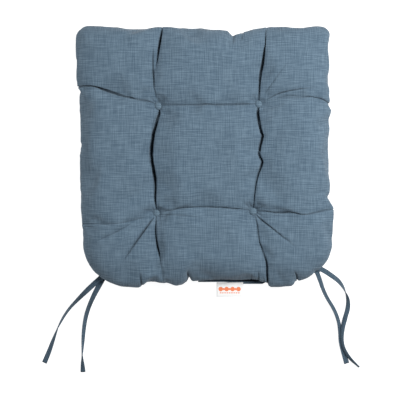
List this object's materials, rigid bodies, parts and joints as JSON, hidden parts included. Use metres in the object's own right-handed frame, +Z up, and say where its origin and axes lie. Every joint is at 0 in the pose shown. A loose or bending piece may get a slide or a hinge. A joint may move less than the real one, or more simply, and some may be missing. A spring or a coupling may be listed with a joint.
{
  "type": "chair seat pad",
  "caption": "Square fibre-filled seat pad with square front and large-radius rear corners, button tufts, flat tie pairs at the rear corners and a small woven label in the rear seam.",
  "frame": {"origin": "centre of the flat underside, on the surface that the pad lies on", "axes": "+Z up through the pad, +Y towards its square front edge, the ties and the label leave at -Y"},
  "size_m": [0.6001, 0.6481, 0.08],
  "materials": {
    "cover_canvas": "matt slub-weave canvas, slate blue",
    "polyester_fibre": "loose crimped fibre",
    "sewing_thread": "spun polyester thread",
    "waxed_twine": "twisted upholstery twine",
    "plated_steel": "zinc plated pressed steel",
    "button_plastic": "moulded, slightly rough",
    "label_tape": "fine woven tape"
  },
  "bodies": {
    "pad": {"top_panel": "cover_canvas", "bottom_panel": "cover_canvas", "button_cap_front_left": "cover_canvas", "button_cap_front_right": "cover_canvas", "button_cap_rear_left": "cover_canvas", "button_cap_rear_right": "cover_canvas", "tie_fold_left": "cover_canvas", "tie_fold_right": "cover_canvas", "fibre_fill": "polyester_fibre", "needle_thread": "sewing_thread", "bobbin_thread": "sewing_thread", "closing_seam_thread": "sewing_thread", "bartack_left": "sewing_thread", "bartack_right": "sewing_thread", "twine_front_left": "waxed_twine", "twine_front_right": "waxed_twine", "twine_rear_left": "waxed_twine", "twine_rear_right": "waxed_twine", "button_shell_front_left": "plated_steel", "button_shell_front_right": "plated_steel", "button_shell_rear_left": "plated_steel", "button_shell_rear_right": "plated_steel", "button_back_front_left": "plated_steel", "button_back_front_right": "plated_steel", "button_back_rear_left": "plated_steel", "button_back_rear_right": "plated_steel", "button_shank_front_left": "plated_steel", "button_shank_front_right": "plated_steel", "button_shank_rear_left": "plated_steel", "button_shank_rear_right": "plated_steel", "under_button_front_left": "button_plastic", "under_button_front_right": "button_plastic", "under_button_rear_left": "button_plastic", "under_button_rear_right": "button_plastic", "label_sewn_end": "label_tape"},
    "label_flap": {"label": "label_tape"},
    "tie_left_outer_tail": {"tie_left_outer": "cover_canvas"},
    "tie_left_inner_tail": {"tie_left_inner": "cover_canvas"},
    "tie_right_inner_tail": {"tie_right_inner": "cover_canvas"},
    "tie_right_outer_tail": {"tie_right_outer": "cover_canvas"}
  },
  "joints": [
    {"name": "label_flip", "type": "hinge", "parent": "pad", "child": "label_flap", "pos_m": [0.048, -0.245, 0.038], "axis": [1, 0, 0], "range_deg": [-70, 80]},
    {"name": "tie_left_outer_swing", "type": "hinge", "parent": "pad", "child": "tie_left_outer_tail", "pos_m": [-0.198, -0.2341, 0.038], "axis": [0, 0, 1], "range_deg": [-40, 0]},
    {"name": "tie_left_inner_swing", "type": "hinge", "parent": "pad", "child": "tie_left_inner_tail", "pos_m": [-0.198, -0.2341, 0.038], "axis": [0, 0, 1], "range_deg": [0, 40]},
    {"name": "tie_right_inner_swing", "type": "hinge", "parent": "pad", "child": "tie_right_inner_tail", "pos_m": [0.2162, -0.2205, 0.038], "axis": [0, 0, 1], "range_deg": [-40, 0]},
    {"name": "tie_right_outer_swing", "type": "hinge", "parent": "pad", "child": "tie_right_outer_tail", "pos_m": [0.2162, -0.2205, 0.038], "axis": [0, 0, 1], "range_deg": [0, 40]}
  ]
}
